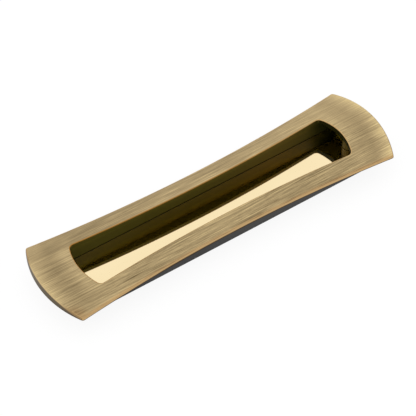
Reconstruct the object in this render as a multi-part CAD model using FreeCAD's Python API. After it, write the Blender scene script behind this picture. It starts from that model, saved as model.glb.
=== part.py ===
import FreeCAD, Part
import math
import os

# Recessed pull for a sliding pocket door, in millimetres.
# +Z points out of the door, X runs along the pull, and z = 0 is the flat
# bottom of the tray, which is the deepest point in the mortise.

# Face plate, in plan at its back: the long sides bow in to a waist, the ends
# bow out, and the edge leans in by the draft of a casting towards the face
plate_corner_half_length = 71.8
plate_end_bulge = 5.4
plate_corner_half_width = 20.6
plate_waist_half_width = 16.6
plate_corner_radius = 1.0
plate_draft = 9.0

# Face plate, in section: a crown of the same rise at every station
plate_edge_thickness = 0.9
crown_rise = 2.2
crown_stations = 5
crown_overrun = 1.2
blank_margin = 2.0
plate_edge_round = 0.3

# Finger opening, of the same waisted form, set in from the plate's ends
face_end_width = 13.8
opening_end_bulge = 2.7
opening_corner_half_width = 11.1
opening_waist_half_width = 8.6
opening_corner_radius = 2.0
opening_edge_round = 0.5

# Tray, straight-sided, so the lip of the opening overhangs it
lip_overhang = 0.7
tray_wall = 1.5
tray_floor = 1.3
tray_inside_depth = 8.0
tray_inner_corner_radius = 2.5
tray_bottom_round = 0.4

# Rebate in the back of the face plate that locates the rim of the tray
rebate_depth = 0.4
rebate_clearance = 0.1

# Screw posts cast on the back of the face plate, hidden under its lip
post_radius = 3.0
post_root_round = 0.4
post_setback = 2.0
post_end_gap = 0.1

# Countersunk screws, up through the tray's floor into the posts
screw_radius = 1.25
screw_length = 6.5
screw_fit = 0.02
screw_hole_clearance = 0.15
screw_head_rim = 0.15
screw_head_recess = 0.1
countersink_land = 0.15
screw_tip_chamfer = 0.3
screw_tip_gap = 0.6
slot_width = 0.6
slot_depth = 0.6
slot_angle = 25.0

# Heights and places that follow from the sizes above
opening_corner_half_length = plate_corner_half_length - face_end_width
floor_top = tray_floor
tray_top = floor_top + tray_inside_depth
seat_z = tray_top - rebate_depth
plate_edge_z = seat_z + plate_edge_thickness
crown_z = plate_edge_z + crown_rise
tray_inner_half_width = opening_corner_half_width + lip_overhang
post_x = opening_corner_half_length + opening_end_bulge + post_setback + post_radius
tray_inner_half_length = post_x + post_radius + post_root_round + post_end_gap
tray_outer_half_width = tray_inner_half_width + tray_wall
tray_outer_half_length = tray_inner_half_length + tray_wall
tray_outer_corner_radius = tray_inner_corner_radius + tray_wall
screw_head_height = tray_floor - screw_head_recess - screw_head_rim - countersink_land
screw_head_radius = screw_radius + screw_head_height


def vector(x, y, z=0.0):
    return FreeCAD.Vector(x, y, z)


def arc(start, middle, end):
    return Part.Arc(vector(*start), vector(*middle), vector(*end)).toShape()


def bowed_prism(corner_x, bulge, corner_y, waist_y, radius, bottom, height):
    """Upright prism on a waisted outline of four arcs with rounded corners."""
    edges = [
        arc((-corner_x, corner_y), (0, waist_y), (corner_x, corner_y)),
        arc((corner_x, corner_y), (corner_x + bulge, 0), (corner_x, -corner_y)),
        arc((corner_x, -corner_y), (0, -waist_y), (-corner_x, -corner_y)),
        arc((-corner_x, -corner_y), (-corner_x - bulge, 0), (-corner_x, corner_y)),
    ]
    prism = Part.Face(Part.Wire(edges)).extrude(vector(0, 0, height))
    prism.translate(vector(0, 0, bottom))
    return prism.makeFillet(radius, upright_edges(prism))


def drafted_blank(height):
    """Block on the outline of the face plate, whose walls lean in by the draft."""
    lean = height * math.tan(math.radians(plate_draft))
    wires = []
    for z, inset in ((seat_z, 0.0), (seat_z + height, lean)):
        slab = bowed_prism(plate_corner_half_length - inset, plate_end_bulge,
                           plate_corner_half_width - inset, plate_waist_half_width - inset,
                           plate_corner_radius, z, 1.0)
        base = min(slab.Faces, key=lambda face: face.CenterOfMass.z)
        wires.append(base.OuterWire)
    return Part.makeLoft(wires, True, True)


def upright_edges(shape):
    """Straight edges along Z."""
    found = []
    for edge in shape.Edges:
        low, high = edge.Vertexes[0].Point, edge.Vertexes[-1].Point
        if math.hypot(high.x - low.x, high.y - low.y) < 1e-6 and abs(high.z - low.z) > 1e-3:
            found.append(edge)
    return found


def side_half_width(x):
    """Half width of the face plate at a station, on the arc of its long side."""
    bow = plate_corner_half_width - plate_waist_half_width
    side_radius = (plate_corner_half_length ** 2 + bow ** 2) / (2 * bow)
    return plate_waist_half_width + side_radius - math.sqrt(side_radius ** 2 - x ** 2)


def crown_section(x):
    """Section of the crowned blank at a station: flat below, an arc above.

    The arc rises by crown_rise between the edge and the middle, however wide
    the plate is there, and runs on past the edge so that the outline trims it.
    """
    half_width = crown_overrun * side_half_width(x)
    shoulder_z = crown_z - crown_rise * crown_overrun ** 2
    left, right = (x, -half_width, shoulder_z), (x, half_width, shoulder_z)
    base_z = seat_z - blank_margin
    base = [vector(x, half_width, base_z), vector(x, -half_width, base_z)]
    return Part.Wire([
        arc(left, (x, 0, crown_z), right),
        Part.makeLine(vector(*right), base[0]),
        Part.makeLine(base[0], base[1]),
        Part.makeLine(base[1], vector(*left)),
    ])


def crowned_blank():
    """Loft of the crown over the whole length, wider and longer than the plate."""
    reach = plate_corner_half_length + plate_end_bulge + blank_margin
    step = 2 * reach / (crown_stations - 1)
    sections = [crown_section(-reach + i * step) for i in range(crown_stations)]
    return Part.makeLoft(sections, True, False)


def top_edges(shape, half_length, half_width):
    """Edges of the upper face that lie within a plan window."""
    found = []
    for edge in shape.Edges:
        box = edge.BoundBox
        above = box.ZMin > seat_z + 0.5 * plate_edge_thickness
        inside = box.XMax < half_length and box.XMin > -half_length
        if above and inside and max(abs(box.YMax), abs(box.YMin)) < half_width:
            found.append(edge)
    return found


def post(x):
    """Round screw post from the tray's floor up into the plate."""
    into_plate = 0.5 * plate_edge_thickness
    return Part.makeCylinder(post_radius, tray_inside_depth + into_plate, vector(x, 0, floor_top))


def post_hole(x):
    """Blind hole for the screw, open at the foot of the post."""
    depth = screw_tip_z() + screw_tip_gap - floor_top
    return Part.makeCylinder(screw_radius + screw_fit, depth, vector(x, 0, floor_top))


def screw_tip_z():
    return screw_head_recess + screw_length


def root_edges(shape):
    """Circles where the posts meet the rebate in the back of the plate."""
    found = []
    for edge in shape.Edges:
        box = edge.BoundBox
        flat = abs(box.ZMax - tray_top) < 1e-3 and abs(box.ZMin - tray_top) < 1e-3
        round_foot = flat and abs(box.YLength - 2 * post_radius) < 0.01
        if round_foot and box.XLength < 2.2 * post_radius:
            found.append(edge)
    return found


def make_face_plate():
    """Crowned, waisted plate with its finger opening, rebate and two screw posts."""
    height = crown_z - seat_z + 1.0
    opening = bowed_prism(opening_corner_half_length, opening_end_bulge,
                          opening_corner_half_width, opening_waist_half_width,
                          opening_corner_radius, seat_z - 1.0, height + 2.0)
    plate = crowned_blank().common(drafted_blank(height)).cut(opening)
    rim_length = opening_corner_half_length + opening_end_bulge + 0.5
    rim_width = opening_corner_half_width + 0.5
    plate = plate.makeFillet(opening_edge_round, top_edges(plate, rim_length, rim_width))
    rim = top_edges(plate, rim_length + 1.0, rim_width + 1.0)
    rim_keys = {edge.hashCode() for edge in rim}
    outer = [edge for edge in top_edges(plate, 1e3, 1e3) if edge.hashCode() not in rim_keys]
    plate = plate.makeFillet(plate_edge_round, outer)
    rebate = rounded_block(tray_outer_half_length + rebate_clearance,
                           tray_outer_half_width + rebate_clearance,
                           tray_outer_corner_radius + rebate_clearance, seat_z - 1.0, tray_top)
    plate = plate.cut(rebate)
    plate = plate.fuse([post(-post_x), post(post_x)]).removeSplitter()
    plate = plate.makeFillet(post_root_round, root_edges(plate))
    return plate.cut([post_hole(-post_x), post_hole(post_x)])


def rounded_block(half_length, half_width, radius, bottom, top):
    """Upright block with rounded vertical corners."""
    block = Part.makeBox(2 * half_length, 2 * half_width, top - bottom,
                         vector(-half_length, -half_width, bottom))
    return block.makeFillet(radius, upright_edges(block))


def make_tray():
    """Straight-sided tray with countersunk screw holes in its floor."""
    block = rounded_block(tray_outer_half_length, tray_outer_half_width,
                          tray_outer_corner_radius, 0.0, tray_top)
    low = [edge for edge in block.Edges if edge.BoundBox.ZMax < 1e-6]
    block = block.makeFillet(tray_bottom_round, low)
    hollow = rounded_block(tray_inner_half_length, tray_inner_half_width,
                           tray_inner_corner_radius, floor_top, tray_top + 1.0)
    tray = block.cut(hollow)
    return tray.cut([screw_hole(-post_x), screw_hole(post_x)])


def screw_hole(x):
    """Countersunk through hole in the tray's floor."""
    hole_radius = screw_radius + screw_hole_clearance
    mouth_radius = screw_head_radius + screw_hole_clearance
    mouth_depth = screw_head_recess + screw_head_rim
    hole = Part.makeCylinder(hole_radius, tray_floor + 2.0, vector(x, 0, -1.0))
    mouth = Part.makeCylinder(mouth_radius, mouth_depth + 1.0, vector(x, 0, -1.0))
    cone = Part.makeCone(mouth_radius, hole_radius, screw_head_height, vector(x, 0, mouth_depth))
    return hole.fuse([mouth, cone])


def make_screw(x):
    """Slotted countersunk screw, head down, with its thread left plain."""
    head_z = screw_head_recess
    cone_z = head_z + screw_head_rim
    profile = [
        vector(0, 0, head_z),
        vector(screw_head_radius, 0, head_z),
        vector(screw_head_radius, 0, cone_z),
        vector(screw_radius, 0, cone_z + screw_head_height),
        vector(screw_radius, 0, screw_tip_z() - screw_tip_chamfer),
        vector(screw_radius - screw_tip_chamfer, 0, screw_tip_z()),
        vector(0, 0, screw_tip_z()),
    ]
    face = Part.Face(Part.makePolygon(profile + [profile[0]]))
    screw = face.revolve(vector(0, 0, 0), vector(0, 0, 1), 360)
    slot = Part.makeBox(2 * screw_head_radius + 1.0, slot_width, slot_depth + 1.0,
                        vector(-screw_head_radius - 0.5, -slot_width / 2, head_z - 1.0))
    slot.rotate(vector(0, 0, 0), vector(0, 0, 1), math.copysign(slot_angle, x))
    screw = screw.cut(slot)
    screw.translate(vector(x, 0, 0))
    return screw


def save(shape, node):
    solids = shape.Solids
    solid = solids[0] if len(solids) == 1 else Part.makeCompound(solids)
    box = solid.BoundBox
    print(node, "solids", len(solids), "valid", solid.isValid(), "volume", round(solid.Volume, 1),
          "x", round(box.XMin, 2), round(box.XMax, 2), "y", round(box.YMin, 2), round(box.YMax, 2),
          "z", round(box.ZMin, 3), round(box.ZMax, 3))
    solid.exportStep(os.path.join("parts", node + ".step"))


os.makedirs("parts", exist_ok=True)
save(make_face_plate(), "face_plate")
save(make_tray(), "tray")
save(make_screw(-post_x), "screw_left")
save(make_screw(post_x), "screw_right")
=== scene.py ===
import math

import bmesh
import bpy
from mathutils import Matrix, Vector


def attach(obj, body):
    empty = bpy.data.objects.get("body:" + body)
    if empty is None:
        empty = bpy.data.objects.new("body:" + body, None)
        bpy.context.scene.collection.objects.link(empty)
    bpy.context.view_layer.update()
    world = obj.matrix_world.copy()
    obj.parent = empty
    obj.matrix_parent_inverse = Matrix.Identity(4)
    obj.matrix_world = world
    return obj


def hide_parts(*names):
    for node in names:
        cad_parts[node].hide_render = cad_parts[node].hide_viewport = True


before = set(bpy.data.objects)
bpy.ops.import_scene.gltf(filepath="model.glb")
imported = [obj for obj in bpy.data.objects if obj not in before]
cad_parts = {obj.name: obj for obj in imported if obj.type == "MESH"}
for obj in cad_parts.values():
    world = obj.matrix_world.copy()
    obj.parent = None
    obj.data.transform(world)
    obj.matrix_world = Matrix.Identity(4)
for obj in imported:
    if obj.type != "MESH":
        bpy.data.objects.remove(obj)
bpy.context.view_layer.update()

print("frame loaded, nodes:", ", ".join(sorted(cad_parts)))

# Everything is drawn in millimetres, in the frame of the CAD, and shrunk to metres at the end.
millimetre = 0.001
tiny = 0.001        # mm, less than any step of the shape


def bow(along, half, rise):
    # height of a shallow arc above its chord, at a distance from the middle
    if rise == 0:
        return 0.0
    radius = (half * half + rise * rise) / (2 * rise)
    return math.sqrt(radius * radius - along * along) - (radius - rise)


def sideHalfWidth(form, x):
    return form["cornerY"] - bow(x, form["cornerX"], form["cornerY"] - form["waistY"])


def waistedRing(bm, form, z, longCuts=119, endCuts=39, cornerSteps=6):
    # a rounded rectangle, divided along its sides, then bowed in at the sides and out at the ends
    made = bmesh.ops.create_grid(bm, x_segments=1, y_segments=1, size=1.0)
    bmesh.ops.scale(bm, verts=made["verts"], vec=(form["cornerX"], form["cornerY"], 1.0))
    bevelled = bmesh.ops.bevel(
        bm, geom=made["verts"], offset=form["cornerCut"], offset_type="OFFSET", affect="VERTICES",
        segments=cornerSteps, profile=0.5, material=-1)
    face = bevelled["verts"][0].link_faces[0]
    edges = face.edges[:]
    bmesh.ops.delete(bm, geom=[face], context="FACES_ONLY")
    byLength = sorted(edges, key=lambda e: -e.calc_length())
    divided = []
    for pair, cuts in ((byLength[:2], longCuts), (byLength[2:4], endCuts)):
        result = bmesh.ops.subdivide_edges(bm, edges=pair, cuts=cuts)
        divided += [g for g in result["geom_split"] if isinstance(g, bmesh.types.BMEdge)]
    ring = list(set(edges + divided))
    for v in ringVerts(ring):
        x, y = v.co.x, v.co.y
        shift = bow(min(abs(y), form["cornerY"]), form["cornerY"], form["endBulge"])
        v.co.x = x * (1.0 + shift / form["cornerX"])
        v.co.y = y * sideHalfWidth(form, x) / form["cornerY"]
        v.co.z = z
    return ring


def ringVerts(ring):
    return list({v for e in ring for v in e.verts})


def bridge(bm, first, second, lift=50.0):
    # rings in one plane can cross over, so one is lifted while the two are joined
    lifted = ringVerts(first)
    bmesh.ops.translate(bm, verts=lifted, vec=(0.0, 0.0, lift))
    made = bmesh.ops.bridge_loops(bm, edges=first + second)
    bmesh.ops.translate(bm, verts=lifted, vec=(0.0, 0.0, -lift))
    return made["faces"]


def roundEdges(bm, edges, radius, steps):
    made = bmesh.ops.bevel(
        bm, geom=edges, offset=radius, offset_type="OFFSET", affect="EDGES", segments=steps,
        profile=0.5, clamp_overlap=True, material=-1)
    return made["faces"]


def onEndWall(f):
    # looks along the pull rather than across it
    return abs(f.normal.x) > 0.6


def onLongEdge(f, length=1.0):
    # looks across the pull; length is that of its normal seen from above
    return abs(f.normal.y) > 0.8 * length


def numbered(finishes):
    # the place of each finish among the piece's materials
    return {name: i for i, name in enumerate(finishes)}


def finishPiece(bm, name, finishes, replaced, crispAngle=32):
    bmesh.ops.scale(bm, verts=bm.verts, vec=(millimetre, millimetre, millimetre))
    bmesh.ops.recalc_face_normals(bm, faces=bm.faces)
    for f in bm.faces:
        f.smooth = True
    for e in bm.edges:
        e.smooth = e.calc_face_angle(0.0) < math.radians(crispAngle)
    mesh = bpy.data.meshes.new(name)
    bm.to_mesh(mesh)
    bm.free()
    piece = bpy.data.objects.new(name, mesh)
    bpy.context.scene.collection.objects.link(piece)
    for material in finishes.values():
        mesh.materials.append(material)
    weighted = piece.modifiers.new("evenNormals", "WEIGHTED_NORMAL")
    weighted.keep_sharp = True
    weighted.weight = 60
    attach(piece, "root")
    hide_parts(replaced)
    print("made", name, len(mesh.polygons), "faces")
    return piece


def tint(red, green, blue):
    # screen colour from 0 to 255, as the shader wants it
    linear = []
    for c in (red, green, blue):
        c = c / 255.0
        linear.append(c / 12.92 if c <= 0.04045 else ((c + 0.055) / 1.055) ** 2.4)
    return (linear[0], linear[1], linear[2], 1.0)


def newMaterial(name, roughness, metallic=1.0, specular=0.5):
    material = bpy.data.materials.new(name)
    material.use_nodes = True
    shader = material.node_tree.nodes["Principled BSDF"]
    shader.inputs["Roughness"].default_value = roughness
    shader.inputs["Metallic"].default_value = metallic
    shader.inputs["Specular IOR Level"].default_value = specular
    return material, material.node_tree, shader


def placed(tree, scale, shift=(0.0, 0.0, 0.0)):
    # object coordinates, stretched: scale is in features per metre along x, y and z
    coords = tree.nodes.new("ShaderNodeTexCoord")
    mapping = tree.nodes.new("ShaderNodeMapping")
    mapping.inputs["Scale"].default_value = scale
    mapping.inputs["Location"].default_value = shift
    tree.links.new(coords.outputs["Object"], mapping.inputs["Vector"])
    return mapping.outputs["Vector"]


def noise(tree, scale, shift=(0.0, 0.0, 0.0), detail=3.0, rough=0.5):
    texture = tree.nodes.new("ShaderNodeTexNoise")
    texture.inputs["Scale"].default_value = 1.0
    texture.inputs["Detail"].default_value = detail
    texture.inputs["Roughness"].default_value = rough
    tree.links.new(placed(tree, scale, shift), texture.inputs["Vector"])
    return texture.outputs["Fac"]


def attribute(tree, name):
    node = tree.nodes.new("ShaderNodeAttribute")
    node.attribute_name = name
    return node.outputs["Fac"]


def math2(tree, operation, first, second, clamp=False):
    node = tree.nodes.new("ShaderNodeMath")
    node.operation = operation
    node.use_clamp = clamp
    for i, value in enumerate((first, second)):
        if isinstance(value, (int, float)):
            node.inputs[i].default_value = value
        else:
            tree.links.new(value, node.inputs[i])
    return node.outputs[0]


def plus(tree, first, second):
    return math2(tree, "ADD", first, second)


def times(tree, first, second):
    return math2(tree, "MULTIPLY", first, second)


def centred(tree, texture, amount):
    # a noise as a change to either side of nothing
    return times(tree, math2(tree, "SUBTRACT", texture, 0.5), amount)


def together(tree, first, second, share):
    return plus(tree, times(tree, first, share), times(tree, second, 1.0 - share))


def lengthwise(tree):
    # metres to the right of the middle
    axes = tree.nodes.new("ShaderNodeSeparateXYZ")
    tree.links.new(placed(tree, (1.0, 1.0, 1.0)), axes.inputs[0])
    return axes.outputs["X"]


def alongPull(tree, length):
    # from 0 at the left to 1 at the right, over a length in metres about the middle
    return plus(tree, times(tree, lengthwise(tree), 1.0 / length), 0.5)


def mixTwo(tree, factor, first, second, colours=False):
    node = tree.nodes.new("ShaderNodeMix")
    node.data_type = "RGBA" if colours else "FLOAT"
    pins = [pin for pin in node.inputs if pin.enabled]
    for pin, value in zip(pins, (factor, first, second)):
        tree.links.new(value, pin)
    return [pin for pin in node.outputs if pin.enabled][0]


def ramp(tree, factor, stops):
    node = tree.nodes.new("ShaderNodeValToRGB")
    points = node.color_ramp.elements
    while len(points) < len(stops):
        points.new(1.0)
    for point, (position, colour) in zip(points, stops):
        point.position = position
        point.color = colour
    tree.links.new(factor, node.inputs["Fac"])
    return node.outputs["Color"]


def level(tree, factor, stops):
    # the same with grey stops, as a plain number
    grey = [(position, (value, value, value, 1.0)) for position, value in stops]
    node = tree.nodes.new("ShaderNodeRGBToBW")
    tree.links.new(ramp(tree, factor, grey), node.inputs["Color"])
    return node.outputs["Val"]


def bump(tree, shader, height, depth, strength=1.0):
    node = tree.nodes.new("ShaderNodeBump")
    node.inputs["Strength"].default_value = strength
    node.inputs["Distance"].default_value = depth
    tree.links.new(height, node.inputs["Height"])
    tree.links.new(node.outputs["Normal"], shader.inputs["Normal"])


brushedFinish = {
    "roughness": 0.38,
    "fineStreak": (60.0, 4600.0, 200.0),    # features per metre along x, y and z
    "wideStreak": (55.0, 1750.0, 100.0),
    "scratch": (420.0, 3600.0, 300.0),
    "cloud": (25.0, 160.0, 18.0),
    "fineAmount": 0.33,
    "wideAmount": 0.23,
    "scratchAmount": 0.09,
    "cloudAmount": 0.05,
    "grooveDepth": 0.00002,                 # metres
}


def brushedBrass():
    # antique brass, brushed along the pull: dark bands across the two ends, relieved at their edges,
    # and rubbed down to copper along the near edge
    material, tree, shader = newMaterial("antiqueBrassBrushed", brushedFinish["roughness"])
    fine = noise(tree, brushedFinish["fineStreak"], (3.1, 0.7, 0.0), 2.0, 0.6)
    wide = noise(tree, brushedFinish["wideStreak"], (7.3, 2.9, 0.0), 3.0, 0.55)
    scratch = noise(tree, brushedFinish["scratch"], (5.9, 1.3, 0.0), 2.0, 0.5)
    cloud = noise(tree, brushedFinish["cloud"], (1.7, 5.3, 0.0), 2.0, 0.5)
    plain = level(tree, attribute(tree, "acrossFace"), [
        (0.0, 0.60), (0.15, 0.60), (0.5, 0.585), (0.85, 0.575), (1.0, 0.575)])
    # in from the arc of the end, over the depth of its relief
    relieved = level(tree, attribute(tree, "fromEnd"), [
        (0.0, 0.72), (0.075, 0.683), (0.125, 0.645), (0.175, 0.617), (0.225, 0.592), (0.30, 0.562),
        (0.40, 0.54), (0.5, 0.558), (0.6, 0.592), (0.70, 0.64), (0.8, 0.66)])
    shade = mixTwo(tree, attribute(tree, "endWear"), plain, relieved)
    # paleness is partly a painted reflection: on the far side the face is paler to the right and darker to
    # the left
    shade = plus(tree, shade, attribute(tree, "paleness"))
    streaks = centred(tree, fine, 2.0 * brushedFinish["fineAmount"])
    for texture, amount in ((wide, "wideAmount"), (scratch, "scratchAmount"), (cloud, "cloudAmount")):
        streaks = plus(tree, streaks, centred(tree, texture, 2.0 * brushedFinish[amount]))
    shade = plus(tree, shade, times(tree, streaks, attribute(tree, "brushDepth")))
    brass = ramp(tree, shade, [
        (0.30, tint(92, 77, 51)), (0.42, tint(122, 104, 72)), (0.53, tint(154, 135, 99)),
        (0.59, tint(172, 150, 110)), (0.66, tint(190, 168, 125)), (0.75, tint(215, 191, 139)),
        (0.86, tint(236, 214, 160))])
    copper = ramp(tree, shade, [
        (0.36, tint(98, 70, 40)), (0.53, tint(160, 128, 88)), (0.62, tint(184, 150, 104)),
        (0.75, tint(208, 174, 120))])
    colour = mixTwo(tree, attribute(tree, "rubbed"), brass, copper, True)
    tree.links.new(colour, shader.inputs["Base Color"])
    bump(tree, shader, plus(tree, fine, wide), brushedFinish["grooveDepth"], 0.5)
    return material


def rimCopper():
    # worn line round the opening, copper brown at its left end and paler towards the right
    material, tree, shader = newMaterial("antiqueBrassRim", 0.3)
    worn = noise(tree, (60.0, 400.0, 400.0), (0.4, 0.2, 0.9), 3.0)
    along = plus(tree, alongPull(tree, 0.125), centred(tree, worn, 0.4))
    colour = ramp(tree, along, [
        (0.0, tint(176, 126, 62)), (0.5, tint(176, 130, 68)), (0.85, tint(192, 150, 90)),
        (1.0, tint(206, 172, 120))])
    tree.links.new(colour, shader.inputs["Base Color"])
    return material


def longEdgeCopper():
    # the long edges are rubbed to copper, with a painted highlight above and painted shade along the back,
    # where the edge faces the floor, darkest left of the middle
    material, tree, shader = newMaterial("antiqueBrassLongEdge", 0.4)
    worn = noise(tree, (90.0, 400.0, 900.0), (0.0, 0.3, 0.0), 3.0)
    # how far the painted highlight reaches down the edge along the pull
    edgeLightAlong = level(tree, alongPull(tree, 0.16), [
        (0.05, 0.44), (0.19, 0.30), (0.31, 0.05), (0.44, 0.12), (0.56, 0.20), (0.69, 0.30),
        (0.82, 0.41), (0.92, 0.40)])
    height = plus(tree, attribute(tree, "upEdge"), edgeLightAlong)
    height = plus(tree, height, centred(tree, worn, 0.2))
    height = times(tree, height, 0.667)     # back within the reach of the ramp
    colour = ramp(tree, height, [
        (0.27, tint(64, 52, 40)), (0.38, tint(90, 70, 48)), (0.48, tint(176, 142, 96)),
        (0.62, tint(204, 172, 122)), (1.0, tint(198, 162, 112))])
    tree.links.new(colour, shader.inputs["Base Color"])
    return material


def endEdgeShadeAndPatina():
    # the edge round the two ends: a painted highlight just under the face, then a dark grey brown that is
    # partly patina and partly painted shade where the edge turns down towards the floor
    material, tree, shader = newMaterial("antiqueBrassEndEdge", 0.45)
    worn = noise(tree, (200.0, 200.0, 900.0), (0.0, 0.3, 0.0), 3.0)
    depth = plus(tree, attribute(tree, "edgeDepth"), centred(tree, worn, 0.12))
    brown = ramp(tree, depth, [
        (0.0, tint(214, 190, 140)), (0.26, tint(206, 180, 132)), (0.42, tint(104, 87, 62)),
        (0.60, tint(110, 96, 73)), (1.0, tint(98, 87, 68))])
    copper = ramp(tree, depth, [
        (0.0, tint(168, 140, 98)), (0.35, tint(158, 130, 90)), (0.62, tint(122, 100, 74)),
        (0.8, tint(92, 80, 66))])
    colour = mixTwo(tree, attribute(tree, "tipCopper"), brown, copper, True)
    tree.links.new(colour, shader.inputs["Base Color"])
    return material


def castBack():
    material, tree, shader = newMaterial("antiqueBrassBack", 0.55)
    grain = noise(tree, (900.0, 900.0, 900.0), (0.0, 0.0, 0.0), 5.0, 0.6)
    stain = noise(tree, (60.0, 60.0, 60.0), (2.0, 1.0, 0.0), 3.0)
    mottled = together(tree, grain, stain, 0.5)
    colour = ramp(tree, mottled, [(0.35, tint(96, 80, 54)), (0.6, tint(140, 120, 82))])
    tree.links.new(colour, shader.inputs["Base Color"])
    bump(tree, shader, grain, 0.00008, 0.6)
    return material


def oliveWall(name, paintedLightTints):
    # dark olive patina on the long walls and the lip, with painted light towards the top that offsets the
    # shade under the plate, and painted shade at the right end of the pocket
    material, tree, shader = newMaterial(name, 0.5, 0.0, 0.05)
    stain = noise(tree, (40.0, 150.0, 150.0), (1.0, 0.0, 0.0), 4.0)
    along = plus(tree, alongPull(tree, 0.16), centred(tree, stain, 0.12))
    # the last stops darken the right end of the pocket, a painted shade
    base = ramp(tree, along, [
        (0.3, tint(82, 76, 22)), (0.5, tint(86, 78, 24)), (0.72, tint(98, 83, 30)),
        (0.82, tint(80, 71, 24)), (0.86, tint(56, 53, 14)), (0.89, tint(42, 44, 7))])
    rubbed = ramp(tree, along, [
        (position, tint(*shade)) for position, shade in zip((0.3, 0.5, 0.82, 0.89), paintedLightTints)])
    # how far up the wall the painted light reaches
    lifted = level(tree, attribute(tree, "upWall"), [
        (0.5, 0.0), (0.675, 0.31), (0.85, 0.56), (0.94, 0.81), (1.0, 1.0)])
    lifted = times(tree, lifted, attribute(tree, "paintedLightShare"))
    tree.links.new(mixTwo(tree, lifted, base, rubbed, True), shader.inputs["Base Color"])
    return material


def plainOlive(name, first, second):
    # the same patina in two flat tones, without the painted light towards the top; the tones given hold
    # painted shade under the lip and on its ends, and painted light on the tray's end walls
    material, tree, shader = newMaterial(name, 0.5, 0.0, 0.05)
    stain = noise(tree, (60.0, 150.0, 150.0), (2.0, 0.0, 0.0), 4.0)
    colour = ramp(tree, stain, [(0.3, tint(*first)), (0.7, tint(*second))])
    tree.links.new(colour, shader.inputs["Base Color"])
    return material


def postBrass():
    material, tree, shader = newMaterial("postBrass", 0.4, 0.3, 0.1)
    stain = noise(tree, (200.0, 200.0, 90.0), (0.0, 0.0, 0.4), 3.0)
    colour = ramp(tree, stain, [(0.3, tint(82, 68, 18)), (0.7, tint(98, 82, 24))])
    tree.links.new(colour, shader.inputs["Base Color"])
    return material


def darkJoint():
    material, tree, shader = newMaterial("darkJointLine", 0.7, 0.0, 0.05)
    grime = noise(tree, (300.0, 900.0, 900.0), (0.0, 0.0, 0.0), 3.0)
    colour = ramp(tree, grime, [(0.3, tint(28, 22, 4)), (0.7, tint(40, 32, 8))])
    tree.links.new(colour, shader.inputs["Base Color"])
    return material


# Waisted outline of the face plate at its back, and its crown
plate = {
    "cornerX": 71.8,
    "cornerY": 20.6,
    "endBulge": 5.4,
    "waistY": 16.6,
    "cornerCut": 0.7,       # from the corner to where its rounding starts
    "backZ": 8.9,
    "edgeZ": 9.8,
    "crownZ": 12.0,
    "draft": 9.0,           # degrees, the edge leans in towards the face
    "edgeRound": 0.35,
    "acrossFace": 12,       # rows of faces from the opening to the edge
    "brushedFrom": 0.97,    # the rounding is brushed where it is this level
}

opening = {
    "cornerX": 58.0,
    "cornerY": 11.1,
    "endBulge": 2.7,
    "waistY": 8.6,
    "cornerCut": 1.37,
    "rimRound": 0.34,
}

# Shallow rebate in the plate's back that locates the rim of the tray
rebate = {
    "cornerX": 70.8,
    "cornerY": 13.4,
    "endBulge": 0.0,
    "waistY": 13.4,
    "cornerCut": 4.1,
    "topZ": 9.3,
}

posts = {
    "x": 65.7,
    "radius": 3.0,
    "rootRound": 0.4,
    "intoPlate": 0.2,
    "footRound": 0.2,       # dark line where the post stands on the floor
    "holeRadius": 1.27,
    "holeTop": 7.2,
    "steps": 40,
}


def crownHeight(x, y):
    across = y / sideHalfWidth(plate, x)
    return plate["crownZ"] - (plate["crownZ"] - plate["edgeZ"]) * across * across


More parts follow.
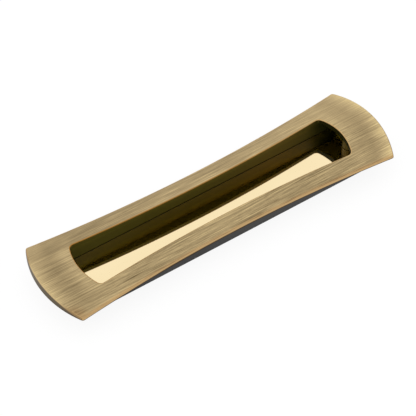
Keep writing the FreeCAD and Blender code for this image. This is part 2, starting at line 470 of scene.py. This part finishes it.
def makeFacePlate():
    finishes = {
        "brushed": brushedBrass(),
        "rim": rimCopper(),
        "longEdge": longEdgeCopper(),
        "endEdge": endEdgeShadeAndPatina(),
        "back": castBack(),
        "lip": oliveWall("oliveLip", [(112, 88, 34), (118, 92, 36), (128, 98, 38), (90, 70, 24)]),
        # a little darker than the walls, painted shade under the lip
        "underLip": plainOlive("oliveUnderLipPaintedShade", (72, 70, 13), (82, 78, 16)),
        # near black, painted shade on the lip's ends
        "lipEnd": plainOlive("oliveLipEndsPaintedShade", (30, 30, 3), (38, 36, 4)),
        "post": postBrass(),
        "postFoot": darkJoint(),
    }
    look = numbered(finishes)

    bm = bmesh.new()
    across = bm.verts.layers.float.new("acrossFace")
    lipLow = waistedRing(bm, opening, rebate["topZ"])
    rim = waistedRing(bm, opening, plate["crownZ"])
    edgeTop = waistedRing(bm, plate, plate["crownZ"])
    edgeLow = waistedRing(bm, plate, plate["backZ"])
    rebateLow = waistedRing(bm, rebate, plate["backZ"])
    rebateTop = waistedRing(bm, rebate, rebate["topZ"])

    for v in ringVerts(edgeTop):
        v[across] = 1.0
    face = bridge(bm, rim, edgeTop)
    wall = bridge(bm, edgeTop, edgeLow)
    lip = bridge(bm, lipLow, rim)
    back = bridge(bm, edgeLow, rebateLow)
    back += bridge(bm, rebateLow, rebateTop)
    back += bridge(bm, rebateTop, lipLow)
    print("face plate rings bridged")

    # rows across the face, then the lean of the edge and the crown
    rings = set(rim + edgeTop)
    radial = list({e for f in face for e in f.edges} - rings)
    bmesh.ops.subdivide_edges(bm, edges=radial, cuts=plate["acrossFace"] - 1, use_grid_fill=True)
    onFace = {v for v in bm.verts if v.co.z > plate["crownZ"] - tiny}
    bmesh.ops.recalc_face_normals(bm, faces=bm.faces)
    slope = math.tan(math.radians(plate["draft"]))
    for v in ringVerts(edgeTop):
        outward = Vector((0.0, 0.0, 0.0))
        for f in v.link_faces:
            if abs(f.normal.z) < 0.5:
                outward += f.normal
        outward.z = 0.0
        rise = crownHeight(v.co.x, v.co.y) - plate["backZ"]
        v.co -= outward.normalized() * rise * slope
    for v in onFace:
        v.co.z = crownHeight(v.co.x, v.co.y)

    for f in face:
        f.material_index = look["brushed"]
    for f in back:
        under = f.calc_center_median().z > rebate["topZ"] - tiny
        f.material_index = look["underLip"] if under else look["back"]
    for f in lip:
        f.material_index = look["lipEnd"] if onEndWall(f) else look["lip"]
    for f in wall:
        f.material_index = look["longEdge"] if onLongEdge(f) else look["endEdge"]
    for f in roundEdges(bm, rim, opening["rimRound"], 4):
        f.material_index = look["rim"]
    for f in roundEdges(bm, edgeTop, plate["edgeRound"], 4):
        if f.normal.z > plate["brushedFrom"]:
            f.material_index = look["brushed"]
        else:
            alongSide = onLongEdge(f, math.hypot(f.normal.x, f.normal.y))
            f.material_index = look["longEdge"] if alongSide else look["endEdge"]
    print("face plate crowned and rounded")

    shadeFace(bm)
    for side in (-1, 1):
        addPost(bm, side * posts["x"], look)
    return finishPiece(bm, "facePlate", finishes, "face_plate")


# Wear of the face plate, and where light and shade are painted on it. Lengths are in mm, and a pair says
# where a change begins and ends.
wear = {
    "endDepth": 20.0,           # how far the relief of the ends reaches in from the arc
    "endRelief": (54.0, 64.0),  # where it takes over, from the middle of the pull
    "endShades": (52.0, 64.0),  # where the other shades of the ends take over
    "tips": (7.0, 17.0),        # from the centre line
    "tipFadeLeft": 0.9,         # how much of the relief is lost towards the tips of each end
    "tipFadeRight": 0.15,
    "farSide": (-4.0, 8.0),     # from the centre line
    "farReach": 60.0,           # where the far side's painted reflection is palest on the right and darkest on the left
    "farBrushDepth": 0.66,      # the brushing is shallower on the far side and on the ends
    "endBrushDepth": 0.68,
    "rubbedStrip": (0.3, 1.5),  # copper along the near edge
    "rubbedFarShare": 0.15,     # how much of it the far edge has
    "nearTipCopper": 0.7,
    "paleEdgeLeft": 1.45,       # depth below the face over which the edge's painted highlight gives way to its dark tone
    "paleEdgeRight": 0.5,
    # painted light up the lip's wall, lighter towards the top where more light falls
    "lipHeight": 2.0,
    "lipPaintedLightShare": 0.6,
}

# How much paler or darker places on the face are than their brushing
patches = {
    "farPalerToRight": 0.065,
    "farMiddlePaler": 0.03,
    "farRightDarker": 0.015,
    "leftMidwayDarker": 0.045,
    "leftFarPaler": 0.03,
    "leftFarTipPaler": 0.05,
    "leftNearEdgePaler": 0.08,
    "leftNearTipDarker": 0.05,
    "rightPaler": 0.035,
    "rightNearTipPaler": 0.045,
    "rightFarPaler": 0.02,
    "rightNearDarker": 0.045,
    "rightInnerDarker": 0.04,
    "rightArcDarker": 0.18,     # thin brown line along the arc
}


def clamped(value):
    return min(1.0, max(0.0, value))


def rising(value, start, stop):
    share = clamped((value - start) / (stop - start))
    return share * share * (3.0 - 2.0 * share)


def falling(value, start, stop):
    return 1.0 - rising(value, start, stop)


def farPaintedReflection(x, far, end):
    # painted reflection: the far side paler towards the right, darker towards the left, and paler in the
    # middle
    middle = max(0.0, 1.0 - (x / opening["cornerX"]) ** 2) * falling(x, -5.0, 20.0)
    pale = patches["farPalerToRight"] * far * x / wear["farReach"] * (1.0 - end)
    pale += patches["farMiddlePaler"] * far * middle
    return pale - patches["farRightDarker"] * far * rising(x, 0.0, 20.0) * (1.0 - end)


def leftPaleness(x, y, fromEnd, fromSide, end, nearTip):
    midway = rising(abs(y), 10.0, 12.5) * falling(abs(y - 1.5), 13.5, 15.5)
    midway *= rising(fromEnd, 5.0, 9.0) * falling(fromEnd, 13.0, 17.0)
    farSpot = end * rising(y, 6.5, 9.0) * falling(y, 9.0, 12.0) * rising(fromEnd, 2.0, 5.0)
    farTip = end * rising(y, 14.0, 17.0) * falling(fromEnd, 4.0, 8.0)
    nearEdge = rising(-y, 0.0, 6.0) * rising(-x, 35.0, 50.0) * falling(fromSide, 1.0, 3.0)
    pale = patches["leftFarPaler"] * farSpot + patches["leftFarTipPaler"] * farTip
    pale += patches["leftNearEdgePaler"] * nearEdge
    return pale - patches["leftMidwayDarker"] * midway - patches["leftNearTipDarker"] * nearTip


def rightPaleness(y, fromEnd, end, arcLine):
    paler = patches["rightPaler"]
    paler += patches["rightNearTipPaler"] * rising(-y, 8.0, 16.0)
    paler += patches["rightFarPaler"] * rising(y, 2.0, 8.0)
    darker = patches["rightNearDarker"] * rising(-y, 0.0, 7.0) * rising(fromEnd, 3.0, 8.0)
    darker += patches["rightInnerDarker"] * rising(fromEnd, 9.0, 14.0)
    return end * (paler - darker) - patches["rightArcDarker"] * arcLine


def shadeFace(bm):
    # how worn each point is, and where light and shade are painted, for the finishes to read
    names = (
        "fromEnd", "endWear", "paleness", "brushDepth", "rubbed", "upEdge", "edgeDepth", "tipCopper",
        "upWall", "paintedLightShare")
    layers = {name: bm.verts.layers.float.new(name) for name in names}
    slope = math.tan(math.radians(plate["draft"]))
    for v in bm.verts:
        x, y, z = v.co
        left = x < 0.0
        top = crownHeight(x, y)
        rise = top - plate["backZ"]
        arc = plate["cornerX"] + bow(min(abs(y), plate["cornerY"]), plate["cornerY"], plate["endBulge"])
        fromEnd = arc - abs(x)
        fromSide = sideHalfWidth(plate, x) - abs(y)
        far = rising(y, *wear["farSide"])
        end = rising(abs(x), *wear["endShades"])
        nearTip = rising(-y, 12.0, 18.0) * rising(-x, 60.0, 68.0) * falling(fromEnd, 1.0, 6.0)
        pale = farPaintedReflection(x, far, end)
        if left:
            tipCopper = max(rising(-y, 9.0, 16.0), rising(y, 9.0, 15.0))
            arcLine = 0.0
            pale += leftPaleness(x, y, fromEnd, fromSide, end, nearTip)
        else:
            tipCopper = rising(3.0 - y, 0.0, 4.0)
            arcLine = tipCopper * falling(fromEnd - rise * slope, 0.12, 0.38)
            pale += rightPaleness(y, fromEnd, end, arcLine)
        lost = rising(abs(y), *wear["tips"]) * wear["tipFadeLeft" if left else "tipFadeRight"]
        brushDepth = 1.0 - (1.0 - wear["farBrushDepth"]) * far
        strip = falling(fromSide, *wear["rubbedStrip"]) * (1.0 if y < 0 else wear["rubbedFarShare"])
        marks = {
            "fromEnd": clamped(fromEnd / wear["endDepth"]),
            "endWear": rising(abs(x), *wear["endRelief"]) * (1.0 - lost),
            "paleness": pale,
            "brushDepth": brushDepth * (1.0 - (1.0 - wear["endBrushDepth"]) * end),
            "rubbed": max(strip, wear["nearTipCopper"] * nearTip, arcLine),
            "upEdge": min(1.0, (z - plate["backZ"]) / rise),
            "edgeDepth": (top - z) / wear["paleEdgeLeft" if left else "paleEdgeRight"],
            "tipCopper": tipCopper,
            "upWall": clamped((z - rebate["topZ"]) / wear["lipHeight"]),
            "paintedLightShare": wear["lipPaintedLightShare"],
        }
        for name in names:
            v[layers[name]] = marks[name]


def addPost(bm, x, look):
    # half section from the hole's closed end round the foot and up to the flare at the root
    foot = tray["floorTop"]
    root = rebate["topZ"]
    radius = posts["radius"]
    flare = posts["rootRound"]
    section = [
        (0.0, posts["holeTop"]),
        (posts["holeRadius"], posts["holeTop"]),
        (posts["holeRadius"], foot),
        (radius - posts["footRound"], foot),
        (radius, foot + posts["footRound"]),
        (radius, root - flare),
    ]
    for step in range(1, 5):
        turn = math.radians(90.0 * step / 4)
        section.append((radius + flare * (1 - math.cos(turn)), root - flare * (1 - math.sin(turn))))
    section.append((radius + flare, root + posts["intoPlate"]))
    section.append((0.0, root + posts["intoPlate"]))
    verts = [bm.verts.new((x + r, 0.0, z)) for r, z in section]
    edges = [bm.edges.new((verts[i], verts[i + 1])) for i in range(len(verts) - 1)]
    bmesh.ops.spin(
        bm, geom=verts + edges, cent=(x, 0.0, 0.0), axis=(0.0, 0.0, 1.0), angle=math.tau,
        steps=posts["steps"], use_merge=True)

    def postVerts():
        # nothing else of the plate is so close to the post's axis and so low
        reach = radius + flare + 0.3
        ceiling = root + posts["intoPlate"] + 0.1
        return [v for v in bm.verts if math.hypot(v.co.x - x, v.co.y) < reach and v.co.z < ceiling]

    bmesh.ops.remove_doubles(bm, verts=postVerts(), dist=0.0005)
    for f in {f for v in postVerts() for f in v.link_faces}:
        atFoot = f.calc_center_median().z < foot + posts["footRound"]
        f.material_index = look["postFoot"] if atFoot else look["post"]


def polishedFloor():
    material, tree, shader = newMaterial("polishedBrass", 0.035)
    haze = noise(tree, (25.0, 60.0, 60.0), (0.0, 0.0, 0.0), 3.0)
    colour = ramp(tree, haze, [(0.3, tint(247, 227, 181)), (0.7, tint(252, 232, 188))])
    tree.links.new(colour, shader.inputs["Base Color"])
    return material


def greyOutside():
    material, tree, shader = newMaterial("darkGreyCoat", 0.5, 0.0, 0.3)
    speck = noise(tree, (1500.0, 1500.0, 1500.0), (0.0, 0.0, 0.0), 4.0, 0.6)
    rubbed = noise(tree, (40.0, 90.0, 400.0), (3.0, 0.0, 1.0), 3.0)
    mottled = together(tree, speck, rubbed, 0.4)
    mottled = plus(tree, mottled, times(tree, lengthwise(tree), 2.5))   # paler towards the right
    colour = ramp(tree, mottled, [
        (0.25, tint(34, 33, 32)), (0.5, tint(52, 51, 49)), (0.75, tint(66, 64, 61))])
    tree.links.new(colour, shader.inputs["Base Color"])
    bump(tree, shader, speck, 0.00005, 0.4)
    return material


tray = {
    "insideX": 69.2,
    "insideY": 11.8,
    "insideCorner": 2.5,
    "wall": 1.5,
    "floorTop": 1.3,
    "rimZ": 9.3,
    "bottomRound": 0.4,
    "jointRound": 0.22,     # dark line where the wall meets the floor
    "floorBorder": 1.0,     # clear of the roundings, round the flat of the floor and of the bottom
    "bottomBorder": 1.2,
    "holeRadius": 1.4,
    "mouthRadius": 2.3,
    "mouthDepth": 0.25,
    "paintedLightFade": 0.6,      # how much less painted light the walls get towards the corners of the opening, where the lip overhangs less
}


def blockForm(halfX, halfY, corner):
    return {"cornerX": halfX, "cornerY": halfY, "endBulge": 0.0, "waistY": halfY, "cornerCut": corner}


def circleRing(bm, x, radius, z, steps=48):
    made = bmesh.ops.create_circle(bm, cap_ends=False, radius=radius, segments=steps)
    bmesh.ops.translate(bm, verts=made["verts"], vec=(x, 0.0, z))
    return list({e for v in made["verts"] for e in v.link_edges})


def makeTray():
    finishes = {
        "polished": polishedFloor(),
        "coat": greyOutside(),
        "joint": darkJoint(),
        "longWall": oliveWall(
            "oliveWall", [(122, 112, 38), (126, 114, 38), (140, 118, 46), (60, 58, 14)]),
        # lighter than the long walls, painted light offsetting the shade deep in the pocket
        "endWall": plainOlive("oliveEndWallsPaintedLight", (122, 121, 20), (134, 132, 25)),
    }
    look = numbered(finishes)

    bm = bmesh.new()
    upWall = bm.verts.layers.float.new("upWall")
    paintedLightShare = bm.verts.layers.float.new("paintedLightShare")

    def ring(border, z):
        form = blockForm(tray["insideX"] + border, tray["insideY"] + border, tray["insideCorner"] + border)
        return waistedRing(bm, form, z, longCuts=39, endCuts=11, cornerSteps=8)

    wall = tray["wall"]
    floorEdge = ring(-tray["floorBorder"], tray["floorTop"])
    joint = ring(0.0, tray["floorTop"])
    rimInside = ring(0.0, tray["rimZ"])
    rimOutside = ring(wall, tray["rimZ"])
    bottom = ring(wall, 0.0)
    baseEdge = ring(wall - tray["bottomBorder"], 0.0)
    polished = bridge(bm, floorEdge, joint)
    olive = bridge(bm, joint, rimInside)
    coated = bridge(bm, rimInside, rimOutside) + bridge(bm, rimOutside, bottom)
    coated += bridge(bm, bottom, baseEdge)

    # countersunk holes join the bottom to the floor
    floorHoles = []
    baseHoles = []
    for side in (-1, 1):
        x = side * posts["x"]
        mouth = circleRing(bm, x, tray["mouthRadius"], 0.0)
        seat = circleRing(bm, x, tray["mouthRadius"], tray["mouthDepth"])
        sunk = tray["mouthDepth"] + tray["mouthRadius"] - tray["holeRadius"]
        throat = circleRing(bm, x, tray["holeRadius"], sunk)
        top = circleRing(bm, x, tray["holeRadius"], tray["floorTop"])
        coated += bridge(bm, mouth, seat) + bridge(bm, seat, throat) + bridge(bm, throat, top)
        floorHoles += top
        baseHoles += mouth
    filled = bmesh.ops.triangle_fill(bm, use_beauty=True, edges=floorEdge + floorHoles)
    polished += [g for g in filled["geom"] if isinstance(g, bmesh.types.BMFace)]
    filled = bmesh.ops.triangle_fill(bm, use_beauty=True, edges=baseEdge + baseHoles)
    coated += [g for g in filled["geom"] if isinstance(g, bmesh.types.BMFace)]
    print("tray rings bridged and holes cut")

    for f in polished:
        f.material_index = look["polished"]
    for f in coated:
        f.material_index = look["coat"]
    for f in olive:
        f.material_index = look["endWall"] if onEndWall(f) else look["longWall"]
    for f in roundEdges(bm, joint, tray["jointRound"], 3):
        f.material_index = look["joint"]
    for f in roundEdges(bm, bottom, tray["bottomRound"], 4):
        f.material_index = look["coat"]
    # painted light up the tray's walls, offsetting the shade under the plate's lip, less towards the
    # corners of the opening
    for v in bm.verts:
        v[upWall] = (v.co.z - tray["floorTop"]) / (tray["rimZ"] - tray["floorTop"])
        along = abs(v.co.x) / opening["cornerX"]
        v[paintedLightShare] = 1.0 - tray["paintedLightFade"] * along * along if along < 1.0 else 0.0
    return finishPiece(bm, "tray_body", finishes, "tray")


def screwFinish():
    material, tree, shader = newMaterial("screwBrass", 0.42)
    scratches = noise(tree, (500.0, 2200.0, 500.0), (0.0, 0.0, 0.0), 4.0, 0.6)
    tarnish = noise(tree, (260.0, 260.0, 260.0), (4.0, 2.0, 0.0), 3.0)
    mottled = together(tree, scratches, tarnish, 0.4)
    colour = ramp(tree, mottled, [(0.35, tint(126, 106, 70)), (0.65, tint(186, 160, 112))])
    tree.links.new(colour, shader.inputs["Base Color"])
    bump(tree, shader, scratches, 0.00003, 0.5)
    return material


def dressScrews():
    finish = screwFinish()
    for name in ("screw_left", "screw_right"):
        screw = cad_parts[name]
        screw.data.materials.clear()
        screw.data.materials.append(finish)
    print("screws finished")


ground = {
    "halfSize": 2.0,        # metres
    "drop": 0.05,           # mm, clear of the tray's bottom
    "paint": 0.9,
    "glow": 1.05,
    "glowShare": 0.85,      # what the camera and reflections see of the glow, the rest being paint
}


def makeFloor():
    bm = bmesh.new()
    bmesh.ops.create_grid(bm, x_segments=1, y_segments=1, size=ground["halfSize"])
    bmesh.ops.translate(bm, verts=bm.verts, vec=(0.0, 0.0, -ground["drop"] * millimetre))
    mesh = bpy.data.meshes.new("floor")
    bm.to_mesh(mesh)
    bm.free()
    floor = bpy.data.objects.new("floor", mesh)
    bpy.context.scene.collection.objects.link(floor)
    material = bpy.data.materials.new("paleFloor")
    material.use_nodes = True
    tree = material.node_tree
    tree.nodes.clear()
    out = tree.nodes.new("ShaderNodeOutputMaterial")
    paint = tree.nodes.new("ShaderNodeBsdfDiffuse")
    paint.inputs["Color"].default_value = (ground["paint"], ground["paint"], ground["paint"], 1.0)
    glow = tree.nodes.new("ShaderNodeEmission")
    glow.inputs["Color"].default_value = (1.0, 1.0, 1.0, 1.0)
    glow.inputs["Strength"].default_value = ground["glow"]
    rays = tree.nodes.new("ShaderNodeLightPath")
    seen = math2(tree, "ADD", rays.outputs["Is Camera Ray"], rays.outputs["Is Glossy Ray"], True)
    seen = math2(tree, "ADD", seen, rays.outputs["Is Transmission Ray"], True)
    above = tree.nodes.new("ShaderNodeMixShader")
    tree.links.new(times(tree, seen, ground["glowShare"]), above.inputs["Fac"])
    tree.links.new(paint.outputs[0], above.inputs[1])
    tree.links.new(glow.outputs[0], above.inputs[2])
    # see-through from beneath, so that the bottom can be looked at
    sides = tree.nodes.new("ShaderNodeNewGeometry")
    clear = tree.nodes.new("ShaderNodeBsdfTransparent")
    both = tree.nodes.new("ShaderNodeMixShader")
    tree.links.new(sides.outputs["Backfacing"], both.inputs["Fac"])
    tree.links.new(above.outputs[0], both.inputs[1])
    tree.links.new(clear.outputs[0], both.inputs[2])
    tree.links.new(both.outputs[0], out.inputs["Surface"])
    mesh.materials.append(material)
    print("floor laid")


room = {
    "light": 1.0,
    "front": 0.85,          # the room is a little dimmer in front
    "fade": (-0.8, 0.4),    # from the front's light to the rest, along y
}


def makeRoom():
    world = bpy.data.worlds.new("softRoom")
    bpy.context.scene.world = world
    world.use_nodes = True
    tree = world.node_tree
    background = tree.nodes["Background"]
    coords = tree.nodes.new("ShaderNodeTexCoord")
    axes = tree.nodes.new("ShaderNodeSeparateXYZ")
    tree.links.new(coords.outputs["Generated"], axes.inputs[0])
    fade = tree.nodes.new("ShaderNodeMapRange")
    fade.interpolation_type = "SMOOTHSTEP"
    fade.inputs["From Min"].default_value = room["fade"][0]
    fade.inputs["From Max"].default_value = room["fade"][1]
    fade.inputs["To Min"].default_value = room["front"]
    fade.inputs["To Max"].default_value = room["light"]
    tree.links.new(axes.outputs["Y"], fade.inputs["Value"])
    rays = tree.nodes.new("ShaderNodeLightPath")
    strength = math2(tree, "MAXIMUM", fade.outputs["Result"], rays.outputs["Is Camera Ray"])
    tree.links.new(strength, background.inputs["Strength"])
    background.inputs["Color"].default_value = (1.0, 1.0, 1.0, 1.0)
    print("room lit")


camera = {
    "azimuth": 34.111,
    "elevation": 49.584,
    "distance": 813.4,
    "lens": 183.09,
    "sensor": 36.0,
    "clip": (0.05, 20.0),   # metres
    "aim": (0.0, 0.0, 11.35),
    "slideRight": -1.983,
    "slideUp": -3.598,
}


def placeCamera():
    azimuth = math.radians(camera["azimuth"])
    elevation = math.radians(camera["elevation"])
    away = Vector((math.sin(azimuth), math.cos(azimuth), 0.0))
    rightward = Vector((math.cos(azimuth), -math.sin(azimuth), 0.0))
    looking = away * math.cos(elevation) - Vector((0.0, 0.0, math.sin(elevation)))
    upward = away * math.sin(elevation) + Vector((0.0, 0.0, math.cos(elevation)))
    target = Vector(camera["aim"]) + rightward * camera["slideRight"] + upward * camera["slideUp"]
    data = bpy.data.cameras.new("photoCamera")
    data.lens = camera["lens"]
    data.sensor_width = camera["sensor"]
    data.clip_start, data.clip_end = camera["clip"]
    holder = bpy.data.objects.new("photoCamera", data)
    holder.location = (target - looking * camera["distance"]) * millimetre
    holder.rotation_euler = looking.to_track_quat("-Z", "Y").to_euler()
    bpy.context.scene.collection.objects.link(holder)
    bpy.context.scene.camera = holder
    print("camera placed")


placeCamera()
makeRoom()
makeFloor()
makeFacePlate()
makeTray()
dressScrews()
bpy.context.scene.view_settings.view_transform = "Standard"
